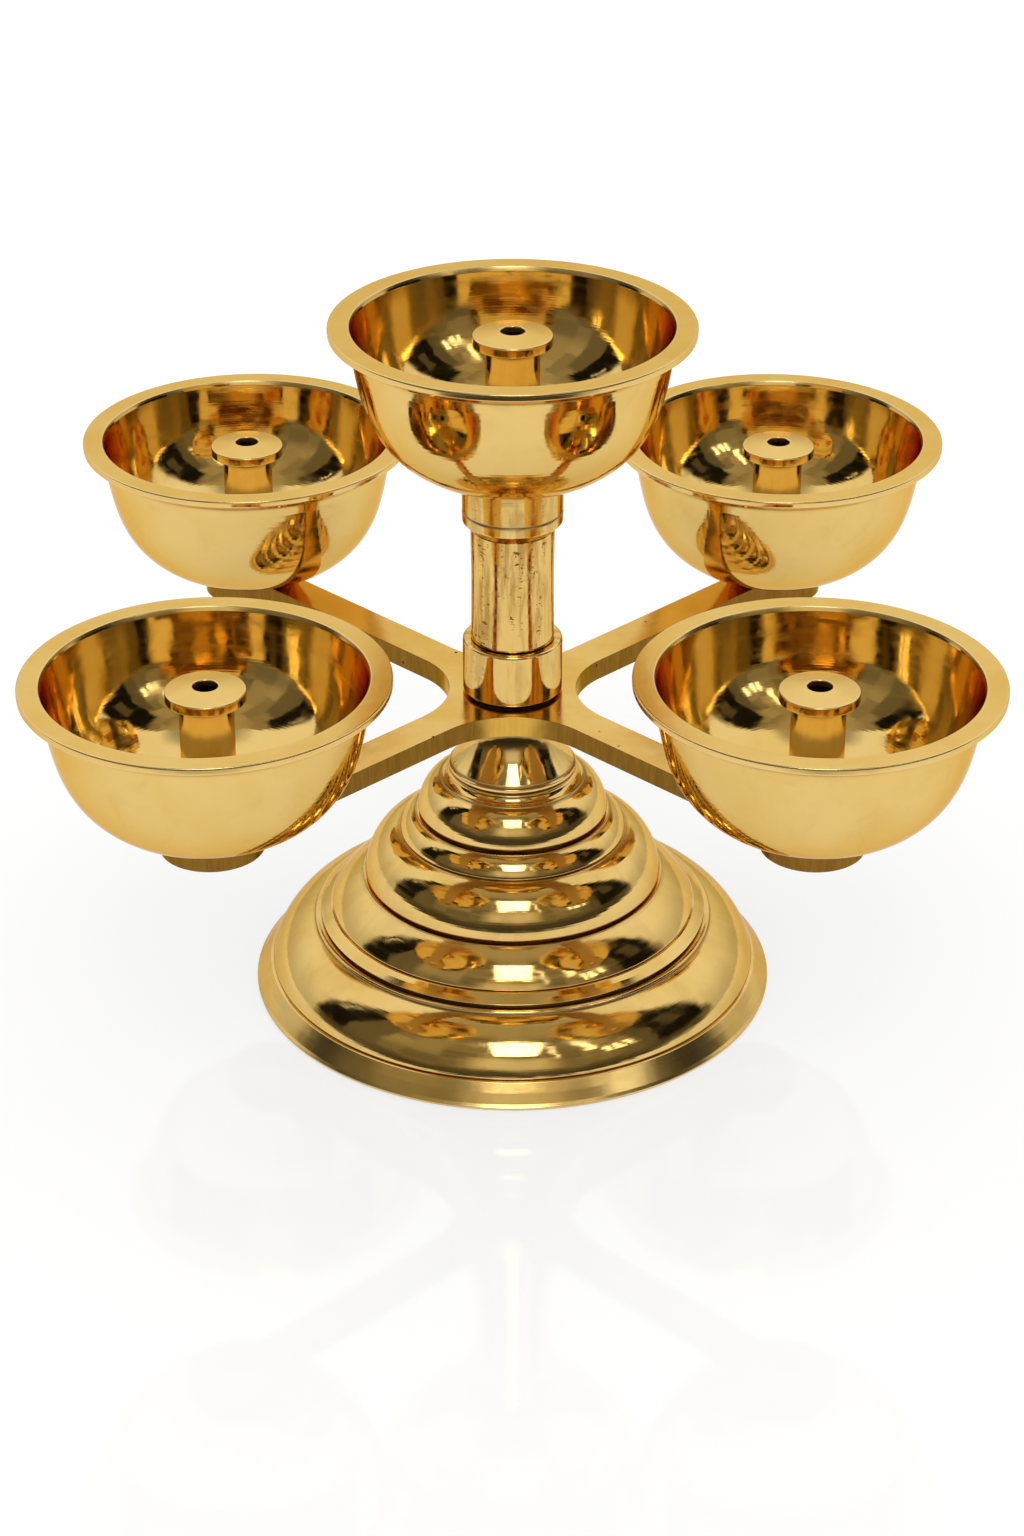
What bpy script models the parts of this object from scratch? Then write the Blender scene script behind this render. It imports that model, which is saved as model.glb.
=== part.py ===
"""Standing brass oil lamp (samai) with one raised centre bowl and four bowls on a cross of arms.

Metres, +Z up. Origin: centre of the foot ring, on the floor. The front is -Y, the left -X.
A tie rod runs through the neck of a hollow stepped base. A cast cross of arms sits on the neck
and a column stands on the cross, round the rod. Each of the five bowls is held down by a hollow
wick post, whose spigot goes through a leather seal and the bowl's floor into an arm boss or the
column's coupling. Threads are plain cylinders.
"""

import math

import bmesh
import bpy

# ---------------------------------------------------------------- driving dimensions, millimetres
# In names, R is a radius from the piece's axis and Z a height above the floor.
MM = 0.001
GAP = 0.3  # clearance between touching pieces

# Base: the outside steps, from the floor up
FOOT_R = 77.8
FOOT_BAND_R, FOOT_BAND_Z = 72.7, 7.1
SKIRT_R, SKIRT_Z = 59.4, 21.5
DOME2_R, DOME2_Z = 54.4, 25.6
DOME3_R, DOME3_Z = 44.2, 36.0
DOME4_R, DOME4_Z = 33.6, 50.3
DOME5_R, DOME5_Z = 28.1, 57.2
RING_R, RING_Z = 18.7, 70.9
NECK_R, NECK_Z = 12.4, 89.6
NECK_EDGE = 0.5
BASE_WALL = 3.2
DOME_BULGE = 0.4  # 0 is a plain cone, 1 is a full quarter-ellipse
FLARE_POWER = 2.8  # higher keeps the neck slim further down
BASE_SEAT_Z, BASE_SEAT_R = 64.0, 13.5  # flat inside the base, under the neck

# Tie rod and its fastening
ROD_R, ROD_CLEAR_R = 4.9, 5.3
ROD_BOTTOM_Z, ROD_TOP_Z = 51.0, 141.0
ROD_CHAMFER = 0.6
NUT_FLATS, NUT_H = 16.0, 8.0
NUT_CHAMFER = 0.5
NUT_DRILL_OVERRUN = 2.0
WASHER_R, WASHER_H = 11.5, 1.6
WASHER_BORE_R = ROD_CLEAR_R + 0.1

# Cross of arms
ARM_LENGTH = 115.6  # lamp axis to bowl axis
ARM_HALF_WIDTH = 5.6
ARM_THICK = 6.2
ARM_BOTTOM_Z = NECK_Z + GAP
ARM_TOP_Z = ARM_BOTTOM_Z + ARM_THICK
ARM_EDGE = 0.7
HUB_BORE_R, HUB_FILLET = 5.6, 25.5
BOSS_R, BOSS_FILLET = 14.4, 7.0

# Column
HUB_WASHER_R, HUB_WASHER_H = 12.9, 0.5
HUB_WASHER_Z = ARM_TOP_Z + GAP
FERRULE_R = 14.5
FERRULE_BOTTOM_Z = HUB_WASHER_Z + HUB_WASHER_H + GAP
FERRULE_TOP_Z = 113.2
COLUMN_R, COLUMN_WAIST = 12.15, 0.25
COUPLING_R = 14.5
COUPLING_BOTTOM_Z, COUPLING_TOP_Z = 148.4, 163.3
COUPLING_EDGE = 0.4
GROOVE_Z, GROOVE_DEPTH, GROOVE_HALF = COUPLING_BOTTOM_Z + 5.3, 0.35, 0.3
SPIGOT_R, SPIGOT_BORE_R, SPIGOT_LEN = 8.7, 9.0, 9.0

# Bowls
RIM_R, RIM_EDGE, RIM_THICK = 50.0, 0.5, 1.9
RIM_UNDERCUT, RIM_UNDERCUT_DROP = 3.4, 4.0  # inward from the rim, below the rim
MOUTH_R, MOUTH_EDGE = 44.1, 0.4
BODY_R, BODY_DROP = 43.4, 5.6  # the body starts this far below the rim
BODY_FLAT, BODY_ROUND = 2.6, 2.2  # exponents of the body's section
BODY_STEPS = 6
TAPER_TOP, TAPER_WAIST = 0.6, -0.7  # wall's offset at the body's top and where it is slimmest
TAPER_WAIST_AT = 0.4  # share of the body's depth where it is slimmest
BOWL_SEAT_R = 14.0
BOWL_FLOOR = 3.0
DISH_FLOOR = 9.0  # lowest point of the dished inside, above the bowl's underside
DISH_SHAPE = 3.2  # exponent of the dish's section
DISH_LEAN = 0.185  # slope of the inside at the mouth
DISH_STEPS = 8
WELL_R = 9.8  # well round the foot of the wick post
ARM_BOWL_HEIGHT, CENTRE_BOWL_HEIGHT = 44.7, 46.0
CENTRE_SCALE = 1.03  # the centre bowl's plan size against an arm bowl's

# Wick posts and their seals
POST_BORE_R = 4.4  # bore in floor, seal and boss
POST_SPIGOT_R, POST_SPIGOT_LEN = 4.0, 5.0
FLANGE_R, FLANGE_H = 11.0, 2.8
FLANGE_DROP = 3.2  # flange edge below the bowl's rim
FLANGE_CONE, FLANGE_EDGE = 1.2, 0.3
POST_R = 7.45
POST_FOOT_R, POST_FOOT_H, POST_TAPER_TOP = 8.7, 0.8, 4.0  # heights above the seal
WICK_R, WICK_FLOOR = 3.4, 1.6  # wick bore, its floor above the seal
FEED_R, FEED_RISE = 1.5, 0.8  # feed holes, their lowest point above the wick bore's floor
FEED_DRILL_LEN = 30.0
SEAL_R, SEAL_H = 9.4, 0.9

# Segments round each kind of piece
SIDES_BASE, SIDES_BOWL, SIDES_COLUMN, SIDES_POST = 36, 28, 24, 16
SIDES_ROD, SIDES_SEAL, SIDES_BASE_WASHER, SIDES_FEED = 16, 16, 20, 8
SIDES_HUB_BORE, SIDES_BOSS_BORE = 16, 12
HUB_FILLET_STEPS, BOSS_FILLET_STEPS, BOSS_STEPS = 4, 3, 6

# Direction of each arm in plan, degrees from +X
ARM_ANGLES = {
    "front_left": -135.0,
    "front_right": -45.0,
    "rear_left": 135.0,
    "rear_right": 45.0,
}

POLISHED_BRASS = dict(
    kind="polished_brass", colour=(0.80, 0.55, 0.20), metallic=1.0, roughness=0.12
)
CAST_BRASS = dict(kind="cast_brass", colour=(0.72, 0.48, 0.18), metallic=1.0, roughness=0.28)
STEEL = dict(kind="zinc_steel", colour=(0.62, 0.62, 0.60), metallic=1.0, roughness=0.35)
LEATHER = dict(kind="seal_leather", colour=(0.16, 0.09, 0.05), metallic=0.0, roughness=0.8)
SHARP_ANGLE = math.radians(35)

# ---------------------------------------------------------------- scene
for old in list(bpy.data.objects):
    bpy.data.objects.remove(old, do_unlink=True)

lamp = bpy.data.collections.new("standing_oil_lamp")
cutters = bpy.data.collections.new("cutters")
for collection in (lamp, cutters):
    bpy.context.scene.collection.children.link(collection)


# ---------------------------------------------------------------- helpers
def material(owner, kind, colour, metallic, roughness):
    """A material of its own for the object named owner."""
    made = bpy.data.materials.new(f"{owner}_{kind}")
    made.use_nodes = True
    shader = made.node_tree.nodes["Principled BSDF"]
    shader.inputs["Base Color"].default_value = (*colour, 1.0)
    shader.inputs["Metallic"].default_value = metallic
    shader.inputs["Roughness"].default_value = roughness
    made.diffuse_color = (*colour, 1.0)
    return made


def evaluated_mesh(obj):
    """A new mesh of the object with its modifiers applied."""
    bpy.context.view_layer.update()
    graph = bpy.context.evaluated_depsgraph_get()
    return bpy.data.meshes.new_from_object(obj.evaluated_get(graph))


def finish(obj, look):
    """Bake the modifiers, then give the piece its material and crisp turned edges."""
    mesh = evaluated_mesh(obj)
    mesh.name = obj.name
    obj.modifiers.clear()
    obj.data = mesh
    mesh.materials.clear()
    mesh.materials.append(material(obj.name, **look))
    mesh.shade_smooth()
    mesh.set_sharp_from_angle(angle=SHARP_ANGLE)


def linked(name, data, collection=lamp):
    obj = bpy.data.objects.new(name, data)
    collection.objects.link(obj)
    return obj


def turned(name, profile, sides, centre=(0.0, 0.0), collection=lamp):
    """A turned solid from points (radius, height) that run down its outer side.

    A profile that starts on the axis also ends there; any other is closed on itself.
    """
    count = len(profile)
    edges = [(i, i + 1) for i in range(count - 1)]
    if profile[0][0] > 0:
        edges.append((count - 1, 0))
    mesh = bpy.data.meshes.new(name)
    mesh.from_pydata([(radius * MM, 0.0, z * MM) for radius, z in profile], edges, [])
    obj = linked(name, mesh, collection)
    obj.location = (centre[0] * MM, centre[1] * MM, 0.0)
    screw = obj.modifiers.new("Turn", "SCREW")
    screw.axis = "Z"
    screw.angle = 2 * math.pi
    screw.steps = sides
    screw.render_steps = sides
    screw.use_merge_vertices = True
    screw.merge_threshold = 0.00001
    screw.use_smooth_shade = True
    return obj


def prism(name, sides, radius, length, collection=lamp):
    """A regular prism along Z, centred on its origin. The radius is to its corners."""
    shape = bmesh.new()
    bmesh.ops.create_cone(
        shape,
        cap_ends=True,
        segments=sides,
        radius1=radius * MM,
        radius2=radius * MM,
        depth=length * MM,
    )
    mesh = bpy.data.meshes.new(name)
    shape.to_mesh(mesh)
    shape.free()
    return linked(name, mesh, collection)


def subtract(obj, modifier_name, cutter):
    """Cut the cutter out of the object, and hide the cutter from renders."""
    cutter.hide_render = True
    cutter.display_type = "WIRE"
    cut = obj.modifiers.new(modifier_name, "BOOLEAN")
    cut.operation = "DIFFERENCE"
    cut.solver = "EXACT"
    cut.object = cutter


def washer(name, bore_radius, radius, bottom_z, height, sides, look, centre=(0.0, 0.0)):
    top_z = bottom_z + height
    profile = [
        (bore_radius, top_z),
        (radius, top_z),
        (radius, bottom_z),
        (bore_radius, bottom_z),
    ]
    finish(turned(name, profile, sides, centre), look)


def polar(radius, angle):
    return radius * math.cos(angle), radius * math.sin(angle)


# ---------------------------------------------------------------- base, tie rod and its fastening
def dome(top_r, top_z, bottom_r, bottom_z, count):
    """Convex shoulder from its top down to its wider bottom, both points included."""
    made = []
    for i in range(count + 1):
        share = i / count
        angle = 0.5 * math.pi * share
        out = DOME_BULGE * math.sin(angle) + (1 - DOME_BULGE) * share
        up = DOME_BULGE * math.cos(angle) + (1 - DOME_BULGE) * (1 - share)
        made.append((top_r + (bottom_r - top_r) * out, bottom_z + (top_z - bottom_z) * up))
    return made


def flare(top_r, top_z, bottom_r, bottom_z, count):
    """Concave neck from its top widening down to its bottom, both points included."""
    made = []
    for i in range(count + 1):
        share = i / count
        radius = top_r + (bottom_r - top_r) * share**FLARE_POWER
        made.append((radius, top_z + (bottom_z - top_z) * share))
    return made


def base_profile():
    """The base's section; small numbers are the nicks and edges between its steps."""
    return [
        # outside: neck and ring
        (NECK_R - NECK_EDGE, NECK_Z),
        *flare(NECK_R, NECK_Z - NECK_EDGE, RING_R - 0.7, RING_Z + 2.4, 4),
        (RING_R, RING_Z + 1.5),
        (RING_R, RING_Z),
        (RING_R - 1.1, RING_Z - 0.5),
        # outside: domes, from the top down
        *dome(RING_R - 0.9, RING_Z - 0.6, DOME5_R, DOME5_Z, 3),
        (DOME5_R - 0.5, DOME5_Z - 0.4),
        *dome(DOME5_R + 0.3, DOME5_Z - 0.5, DOME4_R, DOME4_Z, 2),
        *dome(DOME4_R + 0.2, DOME4_Z - 0.3, DOME3_R, DOME3_Z, 3),
        (DOME3_R - 0.5, DOME3_Z - 0.4),
        *dome(DOME3_R + 0.3, DOME3_Z - 0.5, DOME2_R, DOME2_Z, 3),
        # outside: skirt and foot
        (SKIRT_R - 0.7, DOME2_Z - 2.0),
        (SKIRT_R, SKIRT_Z + 0.2),
        *dome(SKIRT_R + 0.5, SKIRT_Z - 0.2, FOOT_BAND_R, FOOT_BAND_Z, 3),
        (FOOT_BAND_R + 0.5, FOOT_BAND_Z - 0.3),
        (FOOT_R - 1.3, 3.6),
        (FOOT_R, 1.2),
        (FOOT_R - 0.2, 0.0),
        # inside: from the floor up to the seat
        (FOOT_R - 3.6, 0.0),
        (FOOT_R - 4.2, 1.6),
        (FOOT_BAND_R - BASE_WALL, FOOT_BAND_Z - 0.6),
        (SKIRT_R - 2.4, SKIRT_Z - BASE_WALL - 1.2),
        (DOME3_R - BASE_WALL - 1.5, DOME3_Z - 2.6),
        (DOME4_R - BASE_WALL - 1.5, DOME4_Z - 2.6),
        (DOME5_R - BASE_WALL - 3.0, DOME5_Z + 0.5),
        (BASE_SEAT_R, BASE_SEAT_Z),
        # bore through the neck
        (ROD_CLEAR_R, BASE_SEAT_Z),
        (ROD_CLEAR_R, NECK_Z),
    ]


def tie_rod():
    profile = [
        (0.0, ROD_TOP_Z),
        (ROD_R - ROD_CHAMFER, ROD_TOP_Z),
        (ROD_R, ROD_TOP_Z - ROD_CHAMFER),
        (ROD_R, ROD_BOTTOM_Z + ROD_CHAMFER),
        (ROD_R - ROD_CHAMFER, ROD_BOTTOM_Z),
        (0.0, ROD_BOTTOM_Z),
    ]
    finish(turned("tie_rod", profile, SIDES_ROD), STEEL)


def base_nut(top_z):
    """A hexagonal nut, drilled by a round cutter."""
    nut = prism("base_nut", 6, NUT_FLATS / math.sqrt(3), NUT_H)
    nut.location = (0.0, 0.0, (top_z - NUT_H / 2) * MM)
    drill_top = top_z + NUT_DRILL_OVERRUN
    drill_bottom = top_z - NUT_H - NUT_DRILL_OVERRUN
    profile = [
        (0.0, drill_top),
        (ROD_CLEAR_R, drill_top),
        (ROD_CLEAR_R, drill_bottom),
        (0.0, drill_bottom),
    ]
    drill = turned("base_nut_drill", profile, SIDES_ROD, collection=cutters)
    edge = nut.modifiers.new("Corners", "BEVEL")
    edge.width = NUT_CHAMFER * MM
    edge.segments = 1
    subtract(nut, "Bore", drill)
    finish(nut, STEEL)


def base():
    finish(turned("base_casting", base_profile(), SIDES_BASE), POLISHED_BRASS)
    tie_rod()
    washer_z = BASE_SEAT_Z - GAP - WASHER_H
    washer(
        "base_washer", WASHER_BORE_R, WASHER_R, washer_z, WASHER_H, SIDES_BASE_WASHER, STEEL
    )
    base_nut(washer_z - GAP)


# ---------------------------------------------------------------- cross of arms
def arm_side():
    """Right side of an arm, from the hub to the tip of its boss, as (along, left)."""
    hub_offset = ARM_HALF_WIDTH + HUB_FILLET  # of the fillet's centre from the arm's centreline
    boss_offset = ARM_HALF_WIDTH + BOSS_FILLET
    fillet_along = ARM_LENGTH - math.sqrt((BOSS_R + BOSS_FILLET) ** 2 - boss_offset**2)
    touch = math.atan2(boss_offset, fillet_along - ARM_LENGTH)  # where fillet and boss meet
    side = []
    for i in range(1, HUB_FILLET_STEPS + 1):
        across, along = polar(HUB_FILLET, math.pi / 4 * (1 - i / HUB_FILLET_STEPS))
        side.append((hub_offset - along, across - hub_offset))
    for i in range(BOSS_FILLET_STEPS + 1):
        across, along = polar(BOSS_FILLET, (touch - math.pi / 2) * i / BOSS_FILLET_STEPS)
        side.append((fillet_along + along, across - boss_offset))
    for i in range(1, BOSS_STEPS + 1):
        along, across = polar(BOSS_R, touch * (i / BOSS_STEPS - 1))
        side.append((ARM_LENGTH + along, across))
    return side


def cross_outline():
    """Four straight arms, concave fillets at the hub, round bosses at the ends."""
    right = arm_side()
    left = [(along, -across) for along, across in reversed(right[:-1])]
    waist = (ARM_HALF_WIDTH + HUB_FILLET) * math.sqrt(2) - HUB_FILLET
    points = []
    for k in range(4):
        points.append(polar(waist, math.radians(90 * k)))
        cosine, sine = polar(1.0, math.radians(45 + 90 * k))
        for along, across in right + left:
            points.append((along * cosine - across * sine, along * sine + across * cosine))
    return points


def circle(centre, radius, count):
    points = []
    for i in range(count):
        x, y = polar(radius, 2 * math.pi * i / count)
        points.append((centre[0] + x, centre[1] + y))
    return points


def plate(name, loops, bottom_z, top_z, edge):
    """A flat plate from 2D loops, the first one its outline and the others its holes."""
    curve = bpy.data.curves.new(name, "CURVE")
    curve.dimensions = "2D"
    curve.fill_mode = "BOTH"
    curve.extrude = (top_z - bottom_z) / 2 * MM
    for loop in loops:
        spline = curve.splines.new("POLY")
        spline.points.add(len(loop) - 1)
        for point, (x, y) in zip(spline.points, loop):
            point.co = (x * MM, y * MM, 0.0, 1.0)
        spline.use_cyclic_u = True
    guide = linked(name + "_outline", curve)
    mesh = evaluated_mesh(guide)
    bpy.data.objects.remove(guide, do_unlink=True)

    # the filled curve's faces and sides come unjoined
    shape = bmesh.new()
    shape.from_mesh(mesh)
    bmesh.ops.remove_doubles(shape, verts=shape.verts, dist=0.000001)
    bmesh.ops.recalc_face_normals(shape, faces=shape.faces)
    shape.to_mesh(mesh)
    shape.free()

    obj = linked(name, mesh)
    obj.location = (0.0, 0.0, (bottom_z + top_z) / 2 * MM)
    rounding = obj.modifiers.new("Edge", "BEVEL")
    rounding.width = edge * MM
    rounding.segments = 1
    rounding.limit_method = "ANGLE"
    rounding.angle_limit = math.radians(60)
    return obj


def arm_spider(arm_ends):
    loops = [cross_outline(), circle((0.0, 0.0), HUB_BORE_R, SIDES_HUB_BORE)]
    loops += [circle(end, POST_BORE_R, SIDES_BOSS_BORE) for end in arm_ends]
    finish(plate("arm_spider", loops, ARM_BOTTOM_Z, ARM_TOP_Z, ARM_EDGE), CAST_BRASS)


# ---------------------------------------------------------------- column
def lower_ferrule():
    bore_floor = FERRULE_TOP_Z - SPIGOT_LEN - GAP
    profile = [
        (SPIGOT_BORE_R, FERRULE_TOP_Z),
        (FERRULE_R - 1.7, FERRULE_TOP_Z),
        (FERRULE_R - 0.5, FERRULE_TOP_Z - 0.5),
        (FERRULE_R, FERRULE_TOP_Z - 1.7),
        (FERRULE_R, FERRULE_BOTTOM_Z + 0.5),
        (FERRULE_R - 0.4, FERRULE_BOTTOM_Z),
        (ROD_CLEAR_R, FERRULE_BOTTOM_Z),
        (ROD_CLEAR_R, bore_floor),
        (SPIGOT_BORE_R, bore_floor),
    ]
    finish(turned("lower_ferrule", profile, SIDES_COLUMN), POLISHED_BRASS)


def column_tube():
    """A slightly waisted tube with a spigot at each end."""
    bottom_z, top_z = FERRULE_TOP_Z + GAP, COUPLING_BOTTOM_Z - GAP
    profile = [
        (ROD_CLEAR_R, top_z + SPIGOT_LEN),
        (SPIGOT_R, top_z + SPIGOT_LEN),
        (SPIGOT_R, top_z),
        (COLUMN_R, top_z),
        (COLUMN_R - COLUMN_WAIST, (bottom_z + top_z) / 2),
        (COLUMN_R, bottom_z),
        (SPIGOT_R, bottom_z),
        (SPIGOT_R, bottom_z - SPIGOT_LEN),
        (ROD_CLEAR_R, bottom_z - SPIGOT_LEN),
    ]
    finish(turned("column_tube", profile, SIDES_COLUMN), POLISHED_BRASS)


def upper_coupling():
    bore_roof = COUPLING_BOTTOM_Z + SPIGOT_LEN + GAP
    profile = [
        (POST_BORE_R, COUPLING_TOP_Z),
        (COUPLING_R - COUPLING_EDGE, COUPLING_TOP_Z),
        (COUPLING_R, COUPLING_TOP_Z - COUPLING_EDGE),
        (COUPLING_R, GROOVE_Z + GROOVE_HALF),
        (COUPLING_R - GROOVE_DEPTH, GROOVE_Z),
        (COUPLING_R, GROOVE_Z - GROOVE_HALF),
        (COUPLING_R, COUPLING_BOTTOM_Z + 2.3),
        (COLUMN_R + 0.2, COUPLING_BOTTOM_Z),
        (SPIGOT_BORE_R, COUPLING_BOTTOM_Z),
        (SPIGOT_BORE_R, bore_roof),
        (POST_BORE_R, bore_roof),
    ]
    finish(turned("upper_coupling", profile, SIDES_COLUMN), POLISHED_BRASS)


def column():
    washer(
        "hub_washer",
        ROD_CLEAR_R,
        HUB_WASHER_R,
        HUB_WASHER_Z,
        HUB_WASHER_H,
        SIDES_COLUMN,
        LEATHER,
    )
    lower_ferrule()
    column_tube()
    upper_coupling()


# ---------------------------------------------------------------- bowls and wick posts
def taper(depth):
    """How far a bowl's wall stands off its plain rounded section, at a share of its depth."""
    if depth < TAPER_WAIST_AT:
        fall = math.sin(0.5 * math.pi * depth / TAPER_WAIST_AT)
        return TAPER_TOP + (TAPER_WAIST - TAPER_TOP) * fall
    below = (depth - TAPER_WAIST_AT) / (1 - TAPER_WAIST_AT)
    return TAPER_WAIST / 2 * (1 + math.cos(math.pi * below))


def body_section(radius, top, bottom):
    """Rounded body from its top edge down to the edge of its flat seat."""
    last = math.acos((BOWL_SEAT_R / radius) ** (BODY_ROUND / 2))
    deepest = math.sin(last) ** (2 / BODY_FLAT)
    made = []
    for i in range(BODY_STEPS + 1):
        angle = last * i / BODY_STEPS
        plain = radius * math.cos(angle) ** (2 / BODY_ROUND)
        depth = math.sin(angle) ** (2 / BODY_FLAT) / deepest
        made.append((plain + taper(depth), top + (bottom - top) * depth))
    return made


def dish_section(radius, top, bottom):
    """Inside of a bowl from the mouth to the well: rounded, on a wall that leans outwards."""
    lean = DISH_LEAN * (top - bottom)

    def point(angle):
        depth = math.sin(angle) ** (2 / DISH_SHAPE)
        plain = radius * math.cos(angle) ** (2 / DISH_SHAPE)
        return plain - lean * depth, top + (bottom - top) * depth

    # halve the range to find the angle where the dish meets the well
    low, high = 0.0, 0.5 * math.pi
    for _ in range(40):
        middle = 0.5 * (low + high)
        if point(middle)[0] > WELL_R:
            low = middle
        else:
            high = middle
    return [point(low * i / DISH_STEPS) for i in range(DISH_STEPS + 1)]


def bowl_profile(bottom, height, scale):
    """Flat rim, short neck under it, rounded body, bored floor, well and dished inside."""
    top = bottom + height
    rim, mouth = RIM_R * scale, MOUTH_R * scale
    dish = dish_section(mouth - MOUTH_EDGE, top - MOUTH_EDGE, bottom + DISH_FLOOR)
    return [
        (rim - RIM_EDGE, top),
        (rim, top - RIM_EDGE),
        (rim, top - RIM_THICK),
        (rim - RIM_UNDERCUT, top - RIM_UNDERCUT_DROP),
        *body_section(BODY_R * scale, top - BODY_DROP, bottom),
        (POST_BORE_R, bottom),
        (POST_BORE_R, bottom + BOWL_FLOOR),
        (WELL_R, bottom + BOWL_FLOOR),
        *reversed(dish),
        (mouth, top),
    ]


def post_profile(bowl_bottom, seat, flange_z, scale):
    """Disc head with a shallow cone, stem, foot and spigot, round a blind wick bore."""
    head, stem, foot = FLANGE_R * scale, POST_R * scale, POST_FOOT_R * scale
    flange_bottom = flange_z - FLANGE_H
    spigot_bottom = bowl_bottom - POST_SPIGOT_LEN
    return [
        (0.0, seat + WICK_FLOOR),
        (WICK_R, seat + WICK_FLOOR),
        (WICK_R, flange_z + FLANGE_CONE),
        (head - FLANGE_EDGE, flange_z),
        (head, flange_z - FLANGE_EDGE),
        (head, flange_bottom),
        (stem + 0.9, flange_bottom - 0.2),
        (stem, flange_bottom - 1.4),
        (stem, seat + POST_TAPER_TOP),
        (foot, seat + POST_FOOT_H),
        (foot, seat),
        (POST_SPIGOT_R, seat),
        (POST_SPIGOT_R, spigot_bottom),
        (0.0, spigot_bottom),
    ]


def wick_post(place, centre, bowl_bottom, seat, flange_z, scale):
    """A wick post with a feed hole drilled right across it along X."""
    profile = post_profile(bowl_bottom, seat, flange_z, scale)
    post = turned(f"{place}_wick_post", profile, SIDES_POST, centre)
    drill = prism(f"{place}_feed_drill", SIDES_FEED, FEED_R, FEED_DRILL_LEN, cutters)
    drill.rotation_euler = (0.0, math.pi / 2, 0.0)
    feed_z = seat + WICK_FLOOR + FEED_R + FEED_RISE
    drill.location = (centre[0] * MM, centre[1] * MM, feed_z * MM)
    subtract(post, "Feed holes", drill)
    finish(post, POLISHED_BRASS)


def bowl_set(place, centre, support_z, height, scale):
    """A bowl standing on a support, with its seal and wick post."""
    bottom = support_z + GAP
    seal_z = bottom + BOWL_FLOOR + GAP
    seat = seal_z + SEAL_H + GAP
    bowl = turned(f"{place}_bowl", bowl_profile(bottom, height, scale), SIDES_BOWL, centre)
    finish(bowl, POLISHED_BRASS)
    seal = f"{place}_seal_washer"
    washer(seal, POST_BORE_R, SEAL_R, seal_z, SEAL_H, SIDES_SEAL, LEATHER, centre)
    wick_post(place, centre, bottom, seat, bottom + height - FLANGE_DROP, scale)


# ---------------------------------------------------------------- assembly
arm_ends = {
    place: polar(ARM_LENGTH, math.radians(degrees)) for place, degrees in ARM_ANGLES.items()
}
base()
arm_spider(arm_ends.values())
column()
for place, end in arm_ends.items():
    bowl_set(place, end, ARM_TOP_Z, ARM_BOWL_HEIGHT, 1.0)
bowl_set("centre", (0.0, 0.0), COUPLING_TOP_Z, CENTRE_BOWL_HEIGHT, CENTRE_SCALE)
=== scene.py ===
"""Looks of a standing brass oil lamp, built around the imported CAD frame.

The lamp stands on z = 0 with its column on the z axis: a stepped base, a column, a flat cross of
four arms with a bowl at each end, and a fifth bowl in the centre. The camera looks from the front,
which is -y. Each CAD node is replaced by a turned or profiled piece placed from the node's own
box. Profiles and part sizes are in millimetres; objects, studio and bump depths are in metres.
"""

import math
from collections import namedtuple

import bmesh
import bpy
import numpy as np
from mathutils import Matrix, Vector


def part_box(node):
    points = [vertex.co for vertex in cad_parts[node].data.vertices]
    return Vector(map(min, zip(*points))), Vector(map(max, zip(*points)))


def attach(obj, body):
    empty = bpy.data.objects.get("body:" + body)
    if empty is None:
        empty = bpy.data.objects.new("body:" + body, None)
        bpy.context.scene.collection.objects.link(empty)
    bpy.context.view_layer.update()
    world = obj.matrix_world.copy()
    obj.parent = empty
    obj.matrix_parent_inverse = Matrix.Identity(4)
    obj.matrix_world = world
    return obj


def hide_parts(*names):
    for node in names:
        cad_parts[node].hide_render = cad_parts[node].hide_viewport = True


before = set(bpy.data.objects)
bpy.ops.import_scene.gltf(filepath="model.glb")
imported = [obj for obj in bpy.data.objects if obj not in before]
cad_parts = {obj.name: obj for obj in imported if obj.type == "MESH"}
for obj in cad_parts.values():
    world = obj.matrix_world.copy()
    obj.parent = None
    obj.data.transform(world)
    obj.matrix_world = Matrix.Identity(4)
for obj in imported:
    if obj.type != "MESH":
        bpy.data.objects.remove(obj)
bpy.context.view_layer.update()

MM = 0.001
ARMS = ("front_left", "front_right", "rear_left", "rear_right")

# Fits shared between the pieces
ROD_HOLE_R = 5.3
POST_HOLE_R = 4.4
COLUMN_R = 12.15
FERRULE_R = 14.5
SPIGOT_R = 8.7
SPIGOT_LENGTH = 9.0
SOCKET_R = 9.0
SOCKET_DEPTH = SPIGOT_LENGTH + 0.3

scene = bpy.context.scene
lamp = bpy.data.collections.new("lamp_looks")
scene.collection.children.link(lamp)

# A thread between two heights
Thread = namedtuple("Thread", "low high depth pitch")
# A less polished band between two heights and two radii, and its roughness
Satin = namedtuple("Satin", "low high inner outer rough")
# Painted shade with some dirt: browning of a wall from one height up to another, and its strength
Shade = namedtuple("Shade", "low high share")


def node_box(name):
    """(low, high) of a CAD node in millimetres."""
    low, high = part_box(name)
    return low / MM, high / MM


# ---------------------------------------------------------------- turned pieces
# A profile is a closed list of (radius, height[, rounding]) that runs down the outside.
END_CUTS = (0.12, 0.45, 1.1)  # distances from the ends of a long run that get a point


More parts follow.
